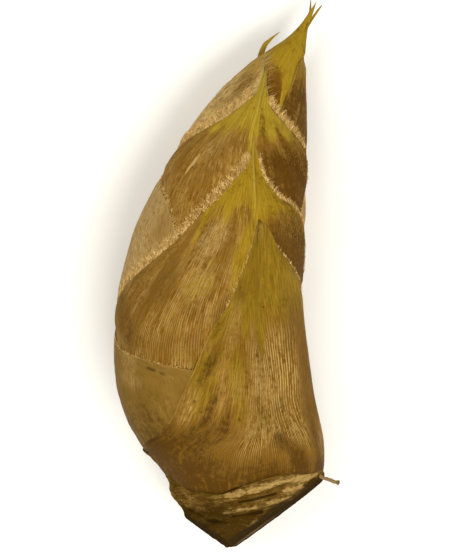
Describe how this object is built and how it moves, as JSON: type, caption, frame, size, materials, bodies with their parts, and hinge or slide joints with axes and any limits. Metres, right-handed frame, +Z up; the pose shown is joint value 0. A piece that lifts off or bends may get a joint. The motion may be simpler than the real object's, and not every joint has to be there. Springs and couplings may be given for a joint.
{
  "type": "bamboo shoot",
  "caption": "Freshly cut bamboo shoot lying on its side, a plump pointed cone of overlapping brown ribbed sheaths with yellow-green blades and a knife-cut stem",
  "frame": {"origin": "middle of the bounding box in plan, on the surface the shoot lies on", "axes": "+Z is up from the surface, +Y runs along the shoot from the cut foot to the tip, +X is to the right when looked down on with the tip away from the viewer"},
  "size_m": [0.0746, 0.1878, 0.0579],
  "materials": {
    "stem": "pale brown fibrous stem with dull rings",
    "sheath": "leathery ribbed sheath, brown with short hairs, yellow-green toward its blade",
    "young_leaf": "smooth yellow-green young leaf"
  },
  "bodies": {
    "root": {"stem": "stem", "sheath_1": "sheath", "sheath_2": "sheath", "sheath_3": "sheath", "sheath_4": "sheath", "sheath_5": "sheath", "sheath_6": "sheath", "sheath_7": "sheath", "young_leaf_1": "young_leaf", "young_leaf_2": "young_leaf"}
  },
  "joints": []
}
